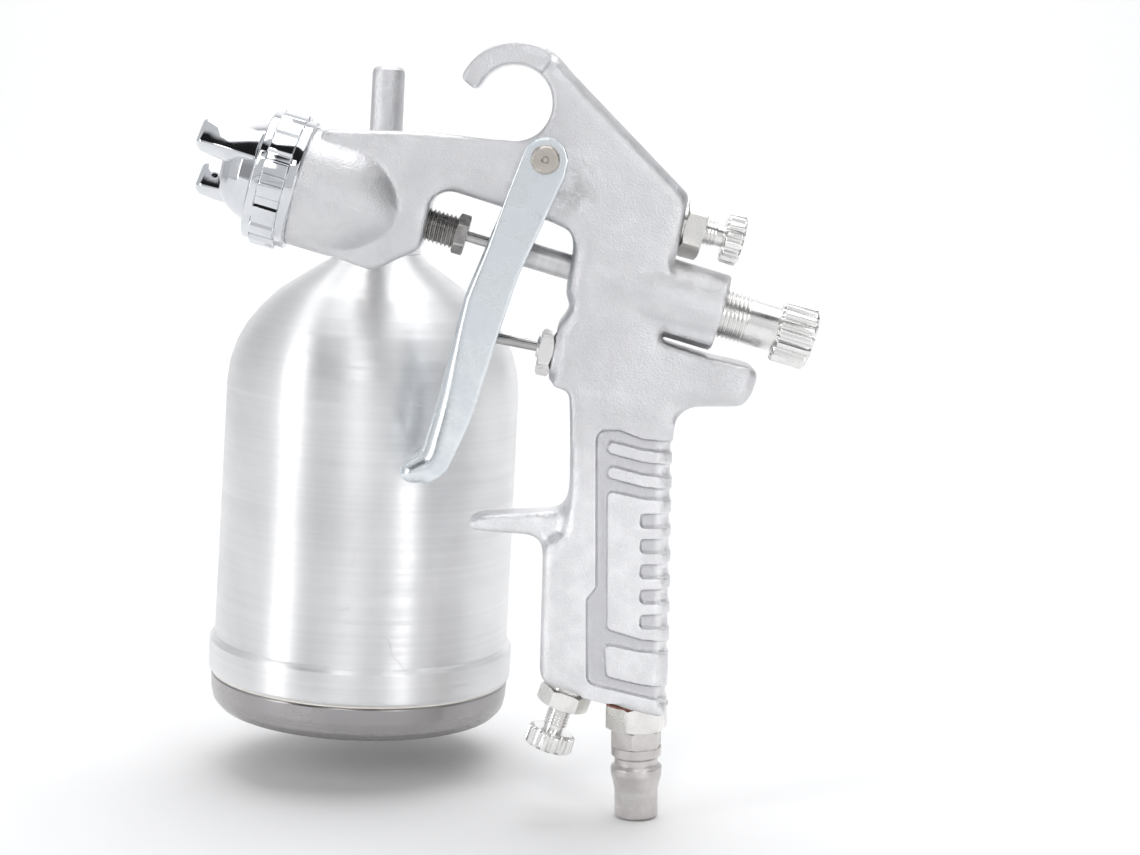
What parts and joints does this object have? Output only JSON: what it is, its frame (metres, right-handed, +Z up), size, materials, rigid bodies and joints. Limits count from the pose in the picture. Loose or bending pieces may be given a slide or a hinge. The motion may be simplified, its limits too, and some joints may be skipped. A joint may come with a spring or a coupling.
{
  "type": "spray gun",
  "caption": "Hand-held spray gun with a cast body, hanging hook, needle and valve adjusters, pull trigger, air plug and an upside-down paint cup on a swivelling side port.",
  "frame": {"origin": "centre of the lower end of the air plug", "axes": "-X towards the nozzle, +X towards the rear knobs, +Y to the paint cup's side, +Z up along the handle"},
  "size_m": [0.1555, 0.1068, 0.1874],
  "materials": {
    "cast_aluminium": "satin as-cast",
    "spun_aluminium": "brushed round the axis",
    "chrome": "bright plated",
    "nickel": "warm nickel plate",
    "bright_knob": "bright turned",
    "zinc_plate": "bluish zinc plate",
    "dark_steel": "dark turned",
    "needle_steel": "ground",
    "spring_steel": "drawn wire",
    "lid_nickel": "satin nickel plate",
    "brass_seat": "turned",
    "white_packing": "dull",
    "red_fibre": "dull",
    "black_rubber": "dull"
  },
  "bodies": {
    "gun": {"gun_body": "cast_aluminium", "fluid_nozzle": "needle_steel", "packing_screw": "dark_steel", "needle_packing": "white_packing", "needle_spring": "spring_steel", "pattern_valve_housing": "nickel", "trigger_pin": "nickel", "trigger_pin_screw": "nickel", "air_valve_gland": "bright_knob", "air_valve_packing": "white_packing", "air_valve_spring": "spring_steel", "air_adjust_housing": "nickel", "inlet_joint": "nickel", "inlet_washer": "red_fibre", "air_plug": "nickel", "port_nipple": "nickel"},
    "air_cap": {"air_cap": "chrome"},
    "cap_ring": {"air_cap_ring": "chrome"},
    "needle": {"fluid_needle": "needle_steel", "needle_sleeve": "needle_steel"},
    "fluid_knob": {"fluid_knob": "bright_knob"},
    "pattern_knob": {"pattern_valve_knob": "bright_knob", "pattern_valve_oring": "black_rubber"},
    "trigger": {"trigger": "zinc_plate"},
    "air_valve": {"air_valve_rod": "needle_steel", "air_valve_poppet": "brass_seat"},
    "air_adjust": {"air_adjust_knob": "bright_knob", "air_adjust_oring": "black_rubber"},
    "cup_nut": {"cup_nut": "bright_knob"},
    "cup": {"cup_elbow": "nickel", "cup_collar": "nickel", "cup": "spun_aluminium"},
    "lid": {"cup_lid": "lid_nickel", "lid_gasket": "white_packing"}
  },
  "joints": [
    {"name": "cap_turn", "type": "hinge", "parent": "gun", "child": "air_cap", "pos_m": [-0.0857, 0, 0.1555], "axis": [0.9568, 0, -0.2907], "range_deg": [-90, 90]},
    {"name": "ring_turn", "type": "hinge", "parent": "gun", "child": "cap_ring", "pos_m": [-0.0857, 0, 0.1555], "axis": [0.9568, 0, -0.2907], "continuous": true},
    {"name": "trigger_pull", "type": "hinge", "parent": "gun", "child": "trigger", "pos_m": [-0.0219, 0, 0.1598], "axis": [0, -1, 0], "range_deg": [0, 16], "stiffness_Nm_per_rad": 1.52, "springref_deg": -9.11},
    {"name": "needle_slide", "type": "slide", "parent": "gun", "child": "needle", "axis": [0.9568, 0, -0.2907], "range_m": [0, 0.0075], "deforming": ["needle_spring"]},
    {"name": "air_valve_slide", "type": "slide", "parent": "gun", "child": "air_valve", "axis": [0.9816, 0, -0.1908], "range_m": [0, 0.0135], "deforming": ["air_valve_spring"]},
    {"name": "fluid_knob_turn", "type": "hinge", "parent": "gun", "child": "fluid_knob", "pos_m": [-0.0857, 0, 0.1555], "axis": [0.9568, 0, -0.2907], "range_deg": [0, 990]},
    {"name": "pattern_knob_turn", "type": "hinge", "parent": "gun", "child": "pattern_knob", "pos_m": [0.013, 0, 0.1435], "axis": [0.9659, 0, -0.2588], "range_deg": [0, 630]},
    {"name": "air_adjust_turn", "type": "hinge", "parent": "gun", "child": "air_adjust", "pos_m": [-0.0169, 0, 0.0317], "axis": [-0.3256, 0, -0.9455], "range_deg": [0, 630]},
    {"name": "cup_swing", "type": "hinge", "parent": "gun", "child": "cup", "pos_m": [-0.06427, 0, 0.14899], "axis": [0, 1, 0], "range_deg": [-8, 180]},
    {"name": "nut_turn", "type": "hinge", "parent": "gun", "child": "cup_nut", "pos_m": [-0.06427, 0, 0.14899], "axis": [0, 1, 0], "continuous": true},
    {"name": "lid_pull", "type": "slide", "parent": "cup", "child": "lid", "axis": [-0.06, 0, -0.9982], "range_m": [0, 0.03]}
  ],
  "couplings": [
    {"joint": "needle_slide", "follows": "trigger_pull", "m_per_rad": 0.0236},
    {"joint": "air_valve_slide", "follows": "trigger_pull", "m_per_rad": 0.0452}
  ]
}
